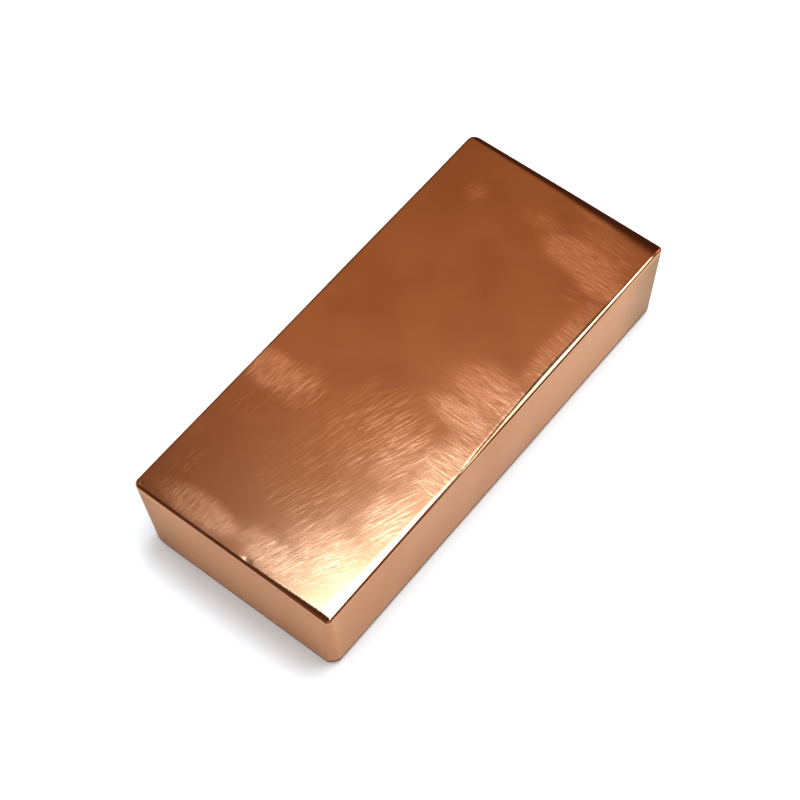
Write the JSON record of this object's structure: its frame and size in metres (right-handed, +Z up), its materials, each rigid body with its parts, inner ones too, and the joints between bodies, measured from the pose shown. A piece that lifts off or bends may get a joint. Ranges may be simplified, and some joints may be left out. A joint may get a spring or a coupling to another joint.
{
  "type": "copper ingot",
  "caption": "Solid cast copper bar with slightly drafted sides, rounded edges and a hand-polished top face, stored lying flat as raw metal stock.",
  "frame": {"origin": "centre of the base, on the surface that the bar lies on", "axes": "+Z up out of the polished top face, +Y along the length of the bar, +X across its width"},
  "size_m": [0.0492, 0.1078, 0.0214],
  "materials": {
    "copper": "satin"
  },
  "bodies": {
    "root": {"ingot": "copper"}
  },
  "joints": []
}
